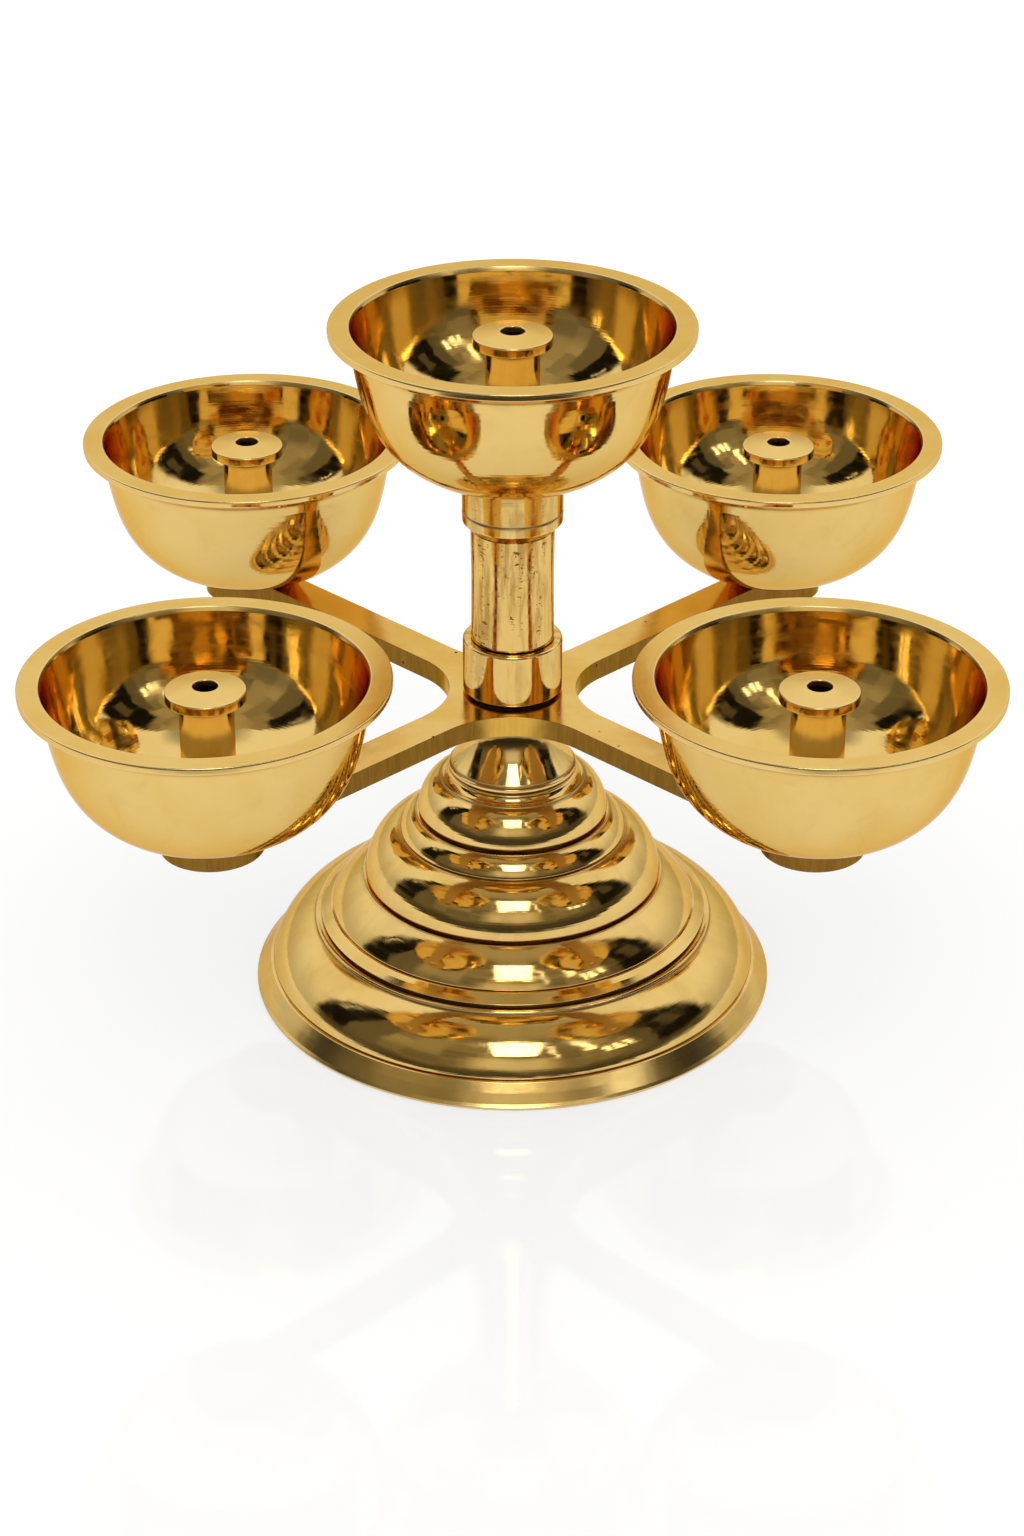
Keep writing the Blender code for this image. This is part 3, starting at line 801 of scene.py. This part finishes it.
replace(tie_rod(), "tie_rod", "base", steel_look)
replace(base_washer(), "base_washer", "base", steel_look)
replace(hex_nut(), "base_nut", "base", steel_look)

# ---------------------------------------------------------------- cross of arms
ARM_HALF_WIDTH = 5.6
HUB_FILLET = 25.5
HUB_HOLE_R = 5.6
BOSS_R = 14.4
BOSS_FILLET = 7.0


def bowl_place(place):
    """Centre x, centre y and rim radius of a bowl."""
    low, high = node_box(f"{place}_bowl")
    return (low.x + high.x) / 2, (low.y + high.y) / 2, (high.x - low.x) / 2


def arm_side():
    """Right side of an arm as (along, across) points, from the hub to the tip of the boss."""
    reach = math.hypot(*bowl_place("front_left")[:2])
    hub_offset = ARM_HALF_WIDTH + HUB_FILLET
    boss_offset = ARM_HALF_WIDTH + BOSS_FILLET
    boss_start = reach - math.sqrt((BOSS_R + BOSS_FILLET) ** 2 - boss_offset**2)
    touch = math.atan2(boss_offset, boss_start - reach)
    side = []
    for i in range(1, 15):
        angle = math.pi / 4 * (1 - i / 14)
        side.append(
            (
                hub_offset - HUB_FILLET * math.sin(angle),
                -hub_offset + HUB_FILLET * math.cos(angle),
            )
        )
    start = side[-1][0]
    for i in range(1, 10):
        side.append((start + (boss_start - start) * i / 10, -ARM_HALF_WIDTH))
    for i in range(10):
        angle = (touch - math.pi / 2) * i / 9
        side.append(
            (
                boss_start + BOSS_FILLET * math.sin(angle),
                -boss_offset + BOSS_FILLET * math.cos(angle),
            )
        )
    for i in range(1, 25):
        angle = -touch + touch * i / 24
        side.append((reach + BOSS_R * math.cos(angle), BOSS_R * math.sin(angle)))
    return side


def arm_outline():
    """Four arms on the diagonals, with a waist point between each two."""
    side = arm_side()
    left = [(along, -across) for along, across in reversed(side[:-1])]
    waist = (ARM_HALF_WIDTH + HUB_FILLET) * math.sqrt(2) - HUB_FILLET
    points = []
    for n in range(4):
        between = math.radians(90 * n)
        points.append((waist * math.cos(between), waist * math.sin(between)))
        arm = math.radians(45 + 90 * n)
        cosine, sine = math.cos(arm), math.sin(arm)
        for along, across in side + left:
            points.append((along * cosine - across * sine, along * sine + across * cosine))
    return points


def circle(centre_x, centre_y, radius, count):
    angles = [2 * math.pi * i / count for i in range(count)]
    return [
        (centre_x + radius * math.cos(angle), centre_y + radius * math.sin(angle))
        for angle in angles
    ]


def arm_cross():
    low, high = node_box("arm_spider")
    curve = bpy.data.curves.new("cross", "CURVE")
    curve.dimensions = "2D"
    curve.fill_mode = "BOTH"
    curve.extrude = (high.z - low.z) / 2 * MM
    loops = [arm_outline(), circle(0, 0, HUB_HOLE_R, 48)]
    loops += [circle(*bowl_place(place)[:2], POST_HOLE_R, 40) for place in ARMS]
    for loop in loops:
        spline = curve.splines.new("POLY")
        spline.points.add(len(loop) - 1)
        for point, (x, y) in zip(spline.points, loop):
            point.co = (x * MM, y * MM, 0.0, 1.0)
        spline.use_cyclic_u = True
    guide = bpy.data.objects.new("cross_guide", curve)
    lamp.objects.link(guide)
    bpy.context.view_layer.update()
    depsgraph = bpy.context.evaluated_depsgraph_get()
    mesh = bpy.data.meshes.new_from_object(guide.evaluated_get(depsgraph))
    bpy.data.objects.remove(guide, do_unlink=True)
    shape = bmesh.new()
    shape.from_mesh(mesh)
    # The filled faces and the extruded walls come unjoined
    bmesh.ops.remove_doubles(shape, verts=shape.verts, dist=0.000001)
    bmesh.ops.recalc_face_normals(shape, faces=shape.faces)
    bmesh.ops.translate(shape, verts=shape.verts, vec=(0, 0, (low.z + high.z) / 2 * MM))
    cross = made_mesh("arm_cross", shape)
    edge = cross.modifiers.new("edges", "BEVEL")
    edge.width = 0.75 * MM
    edge.segments = 3
    edge.limit_method = "ANGLE"
    edge.angle_limit = math.radians(60)
    applied(cross)
    smooth(cross)
    even = cross.modifiers.new("even_shading", "WEIGHTED_NORMAL")
    even.weight = 80
    return cross


cast_look = cast_brass("arm_cast_brass", seed=3.0)
replace(arm_cross(), "arm_spider", "arms", cast_look)

# ---------------------------------------------------------------- column
COLUMN_WAIST = 0.25  # how far the column narrows at mid-height

leather_look = leather("seal_leather", seed=4.0)


def hub_washer():
    low, high = node_box("hub_washer")
    points = washer_points(
        low.z, high.z, ROD_HOLE_R, rim_r=12.9, hole_round=0.1, top_round=0.15, foot_round=0.15
    )
    return lathe("hub_washer_leather", points, 72)


def lower_ferrule():
    """Ring below the column, with a socket in its top."""
    low, high = node_box("lower_ferrule")
    floor_z = high.z - SOCKET_DEPTH
    points = [
        (SOCKET_R, high.z, 0.2), (12.6, high.z, 0.3), (FERRULE_R, high.z, 1.6),
        (FERRULE_R, low.z, 0.35), (ROD_HOLE_R, low.z, 0.2), (ROD_HOLE_R, floor_z, 0.2),
        (SOCKET_R, floor_z, 0.2),
    ]
    return lathe("ferrule", points, 96)


def column_tube():
    """Slightly waisted tube with a narrower spigot at each end."""
    low, high = node_box("column_tube")
    foot_z, top_z = low.z + SPIGOT_LENGTH, high.z - SPIGOT_LENGTH
    wall = [
        (
            COLUMN_R - COLUMN_WAIST * math.sin(math.pi * i / 10),
            top_z + (foot_z - top_z) * i / 10,
        )
        for i in range(1, 10)
    ]
    points = [
        (ROD_HOLE_R, high.z, 0.2), (SPIGOT_R, high.z, 0.4), (SPIGOT_R, top_z, 0.1),
        (COLUMN_R, top_z, 0.25), *wall, (COLUMN_R, foot_z, 0.25),
        (SPIGOT_R, foot_z, 0.1), (SPIGOT_R, low.z, 0.4), (ROD_HOLE_R, low.z, 0.2),
    ]
    return lathe("column", points, 96)


def upper_coupling():
    """Ring above the column, with a socket in its underside and a groove round it."""
    low, high = node_box("upper_coupling")
    roof_z = low.z + SOCKET_DEPTH
    points = [
        (POST_HOLE_R, high.z, 0.2), (FERRULE_R, high.z, 0.5), (FERRULE_R, low.z + 5.65, 0.1),
        (14.15, low.z + 5.3), (FERRULE_R, low.z + 4.95, 0.1), (FERRULE_R, low.z + 2.3, 0.5),
        (12.35, low.z, 0.2), (SOCKET_R, low.z, 0.2), (SOCKET_R, roof_z, 0.2),
        (POST_HOLE_R, roof_z, 0.2),
    ]
    return lathe("coupling", points, 96)


replace(hub_washer(), "hub_washer", "hub_ring", leather_look)
column_look = brass(
    "column_brass", seed=5.0, polish=0.07, smear=0.14, rings=1.6, waves=1.5,
    pits=0.10, nicks=0.9, painted_streaks=0.75,
)
ferrule_look = brass(
    "ferrule_brass", seed=6.0, polish=0.06, smear=0.12, rings=1.6, waves=1.2,
    pits=0.05, nicks=0.25, painted_streaks=0.45,
)
replace(lower_ferrule(), "lower_ferrule", "column", ferrule_look)
replace(column_tube(), "column_tube", "column", column_look)
replace(upper_coupling(), "upper_coupling", "column", ferrule_look)

# ---------------------------------------------------------------- bowls, posts and seals
BOWL_DRAWN_R = 50.0  # rim radius that the bowl and post radii are drawn for
BOWL_SEAT_R = 14.0
WELL_R = 9.8
WELL_FLOOR = 3.0  # above the bowl's underside
BODY_FLAT, BODY_ROUND = 2.6, 2.2  # powers of the outer section, in depth and in radius
DISH_SHAPE = 3.2  # power of the inner section
DISH_SLOPE = 0.185  # inward lean of the inner wall for its depth
POST_BORE_R = 3.4
POST_BORE_FLOOR = 1.6  # above the post's seat
POST_TENON_R = 4.0
DRILL_R = 1.5


def wall_offset(share):
    """How far the outer wall stands off its plain section, at a share of its depth."""
    if share < 0.4:
        return 0.6 - 1.3 * math.sin(0.5 * math.pi * share / 0.4)
    return -0.35 * (1 + math.cos(math.pi * (share - 0.4) / 0.6))


def body_section(radius, top, bottom, count):
    """Outside of a bowl, down to its seat."""
    last = math.acos((BOWL_SEAT_R / radius) ** (BODY_ROUND / 2))
    deepest = math.sin(last) ** (2 / BODY_FLAT)
    made = []
    for i in range(count + 1):
        angle = last * i / count
        share = math.sin(angle) ** (2 / BODY_FLAT) / deepest
        wall_r = radius * math.cos(angle) ** (2 / BODY_ROUND) + wall_offset(share)
        made.append((wall_r, top + (bottom - top) * share))
    return made


def dish_section(radius, top, bottom, count):
    """Inside of a bowl, down to the well: a rounded section on a wall that leans out."""
    lean = DISH_SLOPE * (top - bottom)

    def point(angle):
        share = math.sin(angle) ** (2 / DISH_SHAPE)
        wall_r = radius * math.cos(angle) ** (2 / DISH_SHAPE) - lean * share
        return wall_r, top + (bottom - top) * share

    # Bisect for the angle at which the section meets the well
    low, high = 0.0, 0.5 * math.pi
    for _ in range(40):
        middle = 0.5 * (low + high)
        if point(middle)[0] > WELL_R:
            low = middle
        else:
            high = middle
    return [point(low * (i / count) ** 1.5) for i in range(count + 1)]


def bowl_points(rim, rim_z, bottom):
    scale = rim / BOWL_DRAWN_R
    body, mouth = 43.4 * scale, 44.1 * scale
    inner = dish_section(mouth - 0.4, rim_z - 0.4, bottom + 9.0, count=64)[1:-1]
    return [
        (mouth, rim_z, 0.3), (rim, rim_z, 0.5), (rim, rim_z - 1.9, 0.35),
        (rim - 3.2, rim_z - 3.9, 1.5), (body + 0.6, rim_z - 4.9, 0.7),
        *body_section(body, rim_z - 5.6, bottom, count=44)[1:-1],
        (BOWL_SEAT_R, bottom, 0.6), (POST_HOLE_R, bottom, 0.2),
        (POST_HOLE_R, bottom + WELL_FLOOR, 0.2), (WELL_R, bottom + WELL_FLOOR, 0.5),
        (WELL_R, inner[-1][1] - 0.02, 0.5),
        *inner[::-1],
    ]


def post_points(rim, rim_z, seat, low_z, top_z):
    """Bored post: a wide head, a slim stem, a foot on the seat and a threaded tenon below."""
    scale = rim / BOWL_DRAWN_R
    head, stem, foot = 11.0 * scale, 7.45 * scale, 8.7 * scale
    edge = rim_z - 3.2
    bore_z = seat + POST_BORE_FLOOR
    return [
        (0.0, bore_z), (POST_BORE_R, bore_z, 0.3), (POST_BORE_R, top_z, 0.45),
        (head, edge, 0.45), (head, edge - 2.8, 0.4), (stem + 0.7, edge - 3.0, 0.9),
        (stem, edge - 4.4, 1.0), (stem, seat + 4.2, 3.0), (foot, seat + 0.9, 0.6),
        (foot, seat, 0.25), (POST_TENON_R, seat, 0.15), (POST_TENON_R, low_z + 0.5, 0.1),
        (POST_TENON_R - 0.5, low_z, 0.1), (0.0, low_z),
    ]


def bowl_set(place, seed):
    """A bowl, the leather seal in it and the cross-drilled wick post."""
    *centre, rim = bowl_place(place)
    low, high = node_box(f"{place}_bowl")
    rim_z = high.z
    look = brass(
        f"{place}_bowl_brass", seed, polish=0.04, smear=0.10, rings=0.9, waves=1.0, pits=0.03,
        satin=[Satin(low=rim_z - 0.6, high=rim_z + 1.0, inner=40.0, outer=60.0, rough=0.15)],
    )
    bowl = lathe(f"{place}_bowl_turned", bowl_points(rim, rim_z, low.z), 128, centre)
    replace(bowl, f"{place}_bowl", f"{place}_bowl", look)

    low, high = node_box(f"{place}_seal_washer")
    seat = high.z + 0.3
    points = washer_points(
        low.z, high.z, POST_HOLE_R, rim_r=9.4, hole_round=0.1, top_round=0.3, foot_round=0.3
    )
    seal = lathe(f"{place}_seal_leather", points, 64, centre)
    replace(seal, f"{place}_seal_washer", f"{place}_seal", leather_look)

    low, high = node_box(f"{place}_wick_post")
    look = brass(
        f"{place}_post_brass", seed + 0.5, polish=0.06, smear=0.10, rings=1.0, waves=0.7,
        satin=[Satin(low=rim_z - 3.6, high=rim_z + 1.0, inner=0.0, outer=20.0, rough=0.17)],
    )
    post = lathe(
        f"{place}_post_turned", post_points(rim, rim_z, seat, low.z, high.z), 72, centre,
        step=1.2, thread=Thread(low=low.z + 0.4, high=seat - 0.2, depth=0.5, pitch=1.25),
    )
    drill_z = seat + POST_BORE_FLOOR + DRILL_R + 0.8
    along_x = Matrix.Translation((0, 0, drill_z * MM)) @ Matrix.Rotation(math.pi / 2, 4, "Y")
    drill = cylinder(f"{place}_drill", DRILL_R, 30.0, 20, along_x)
    drill.location = post.location
    cut(post, drill)
    smooth(post)
    replace(post, f"{place}_wick_post", f"{place}_post", look)


for n, place in enumerate(ARMS + ("centre",)):
    bowl_set(place, seed=10.0 + 3.0 * n)


# ---------------------------------------------------------------- floor
def studio_floor():
    """White glossy floor that reflections see dark and matt near the camera."""
    shape = bmesh.new()
    below = Matrix.Translation((0, 0, -0.0002))
    bmesh.ops.create_grid(shape, x_segments=1, y_segments=1, size=6.0, matrix=below)
    floor = made_mesh("studio_floor", shape)
    look, nodes = new_material("white_gloss_floor")
    coord = nodes.wire("ShaderNodeTexCoord", output="Object")
    cloud = nodes.noise(coord, scale=3.0, detail=3.0, rough=0.6)
    mirrored = nodes.wire("ShaderNodeLightPath", output="Is Glossy Ray")
    y = nodes.split(nodes.wire("ShaderNodeNewGeometry", output="Position"))[1]
    near_camera = y.ramp(low=-0.34, high=-0.46)
    colour = cloud.blend(off=(0.32, 0.32, 0.32), on=(0.34, 0.34, 0.338))
    glow = near_camera.mix(off=0.54, on=0.0)
    nodes.surface({
        "Base Color": (mirrored * near_camera).blend(off=colour, on=(0.05, 0.045, 0.035)),
        "Emission Color": mirrored.blend(off=(1.0, 0.998, 0.992), on=(1.0, 0.975, 0.93)),
        "Emission Strength": mirrored.mix(off=0.62, on=glow),
        "Roughness": mirrored.mix(off=cloud.mix(off=0.045, on=0.06), on=0.75),
        "Specular IOR Level": mirrored.mix(off=0.42, on=0.0),
        "IOR": 1.5,
    })
    floor.data.materials.append(look)


studio_floor()

# ---------------------------------------------------------------- world
# Patches of the surroundings, in degrees. Bearing is 0 at the front (-y), positive towards +x.
# bearing low, high, softness, height low, high, softness, brightness
PANELS = (
    (-99, -81, 1.5, 8, 58, 2.5, 0.008),
    (-81, -64, 1.5, 8, 52, 2.5, 0.15),
    (71, 99, 1.5, 8, 58, 2.5, 0.008),
    (62, 71, 1.5, 8, 50, 2.5, 0.12),
    (81, 90, 1.0, 24, 40, 1.5, 0.09),
    (-96.0, -94.4, 0.5, 32, 44, 1.5, 0.9),  # bright slit
)
WINDOWS = (
    (20, 22.5, 0.6, 30, 52, 1.5, 1.5),
    (37, 42, 0.6, 34, 55, 1.5, 2.2),
    (45.0, 48.6, 0.5, 24, 33, 1.0, 2.4),
    (51.0, 54.6, 0.5, 24, 33, 1.0, 2.4),
    (57.0, 60.6, 0.5, 24, 33, 1.0, 2.4),
)


def studio_world():
    """Even light; reflections see bright sides and back, and a darker room in front."""
    world = bpy.data.worlds.new("studio")
    world.use_nodes = True
    nodes = Nodes(world.node_tree)
    direction = nodes.wire("ShaderNodeTexCoord", output="Generated")
    x, y, z = nodes.split(direction)
    degrees = 180 / math.pi
    wobble = (nodes.noise(direction, scale=5.0, detail=3.0, rough=0.6) - 0.5) * 9.0
    bearing = x.math("ARCTAN2", y * -1.0) * degrees + wobble
    height = z.math("ARCSINE") * degrees + wobble * 0.5
    away = bearing.math("ABSOLUTE")

    def with_patches(value, patches):
        for left, right, side_soft, low, high, end_soft, brightness in patches:
            across = bearing.within(left, right, outside=side_soft, inside=side_soft)
            mask = across * height.within(low, high, outside=end_soft, inside=end_soft)
            value = mask.mix(off=value, on=brightness)
        return value

    # Front wall in large flat patches, darker low down
    column, row = (bearing / 17.0).math("FLOOR"), (height / 13.0).math("FLOOR")
    snapped = {"Vector": nodes.vector(column, row, 0.0)}
    cell = nodes.wire("ShaderNodeTexWhiteNoise", snapped, "Value", noise_dimensions="3D")
    value = 0.17 + cell * 0.24
    value = value * height.ramp(low=34, high=18).mix(off=1.0, on=0.62)
    value = with_patches(value, PANELS)
    # Sides and back
    surround = height.ramp(low=34, high=0).mix(off=0.95, on=0.62)
    value = away.ramp(low=99, high=103).mix(off=value, on=surround)
    # Bright card low in the middle of the front
    card = away.ramp(low=27, high=12) * height.within(13, 32, outside=4.0, inside=4.0)
    value = card.mix(off=value, on=0.72)
    # Ceiling
    value = height.ramp(low=64, high=76).mix(off=value, on=0.42)
    value = with_patches(value, WINDOWS)
    # Dark strip at the foot of the front
    strip = height.ramp(low=13, high=3) * away.ramp(low=99, high=90)
    value = strip.mix(off=value, on=0.07)

    glossy_ray, diffuse_ray = nodes.wires(
        "ShaderNodeLightPath", ("Is Glossy Ray", "Is Diffuse Ray")
    )
    glossy = glossy_ray.math("MULTIPLY", 1.0 - diffuse_ray, clamp=True)
    warm = away.ramp(low=103, high=99) * value.ramp(low=0.9, high=0.5) * glossy
    inputs = {
        "Color": warm.blend(off=(1.0, 0.995, 0.985), on=(1.0, 0.87, 0.62)),
        "Strength": glossy.mix(off=1.06, on=value),
    }
    background = nodes.wire("ShaderNodeBackground", inputs)
    nodes.add("ShaderNodeOutputWorld", {"Surface": background})
    return world


scene.world = studio_world()


# ---------------------------------------------------------------- light
def softbox(name, bearing, height, distance, width, tall, radiance):
    """Area light aimed at the lamp from a bearing and height in degrees.

    radiance is the brightness that a mirror would show.
    """
    data = bpy.data.lights.new(name, "AREA")
    data.shape = "RECTANGLE"
    data.size = width
    data.size_y = tall
    data.energy = radiance * math.pi * width * tall
    data.color = (1.0, 0.985, 0.96)
    obj = bpy.data.objects.new(name, data)
    scene.collection.objects.link(obj)
    turn, rise = math.radians(bearing), math.radians(height)
    back = Vector(
        (math.sin(turn) * math.cos(rise), -math.cos(turn) * math.cos(rise), math.sin(rise))
    )
    target = Vector((0.0, 0.0, 0.06))
    obj.location = target + back * distance
    obj.rotation_euler = back.to_track_quat("Z", "Y").to_euler()
    obj.visible_camera = False


softbox("window_light", bearing=1.0, height=47.0, distance=1.6, width=0.52, tall=0.66, radiance=4.5)

# ---------------------------------------------------------------- camera
CAMERA_PLACE = (0.0, -0.896013, 0.559895)
# Radians: downward pitch, yaw from +y towards +x, and roll
PITCH, YAW, ROLL = 0.5009138587, -0.00017024, 0.00029957


def photo_camera():
    data = bpy.data.cameras.new("photo_camera")
    data.lens = 80.789
    data.sensor_width = 36.0
    data.clip_start = 0.05
    data.clip_end = 50.0
    camera = bpy.data.objects.new("photo_camera", data)
    scene.collection.objects.link(camera)
    forward = Vector(
        (math.sin(YAW) * math.cos(PITCH), math.cos(YAW) * math.cos(PITCH), -math.sin(PITCH))
    )
    level_right = Vector((math.cos(YAW), -math.sin(YAW), 0.0))
    level_up = level_right.cross(forward)
    right = level_right * math.cos(ROLL) + level_up * math.sin(ROLL)
    up = -level_right * math.sin(ROLL) + level_up * math.cos(ROLL)
    rows = [(right[i], up[i], -forward[i], CAMERA_PLACE[i]) for i in range(3)]
    camera.matrix_world = Matrix((*rows, (0.0, 0.0, 0.0, 1.0)))
    return camera


scene.camera = photo_camera()
scene.view_settings.view_transform = "Standard"
scene.view_settings.look = "None"
scene.cycles.glossy_bounces = 10
scene.cycles.max_bounces = 12
scene.cycles.caustics_reflective = False
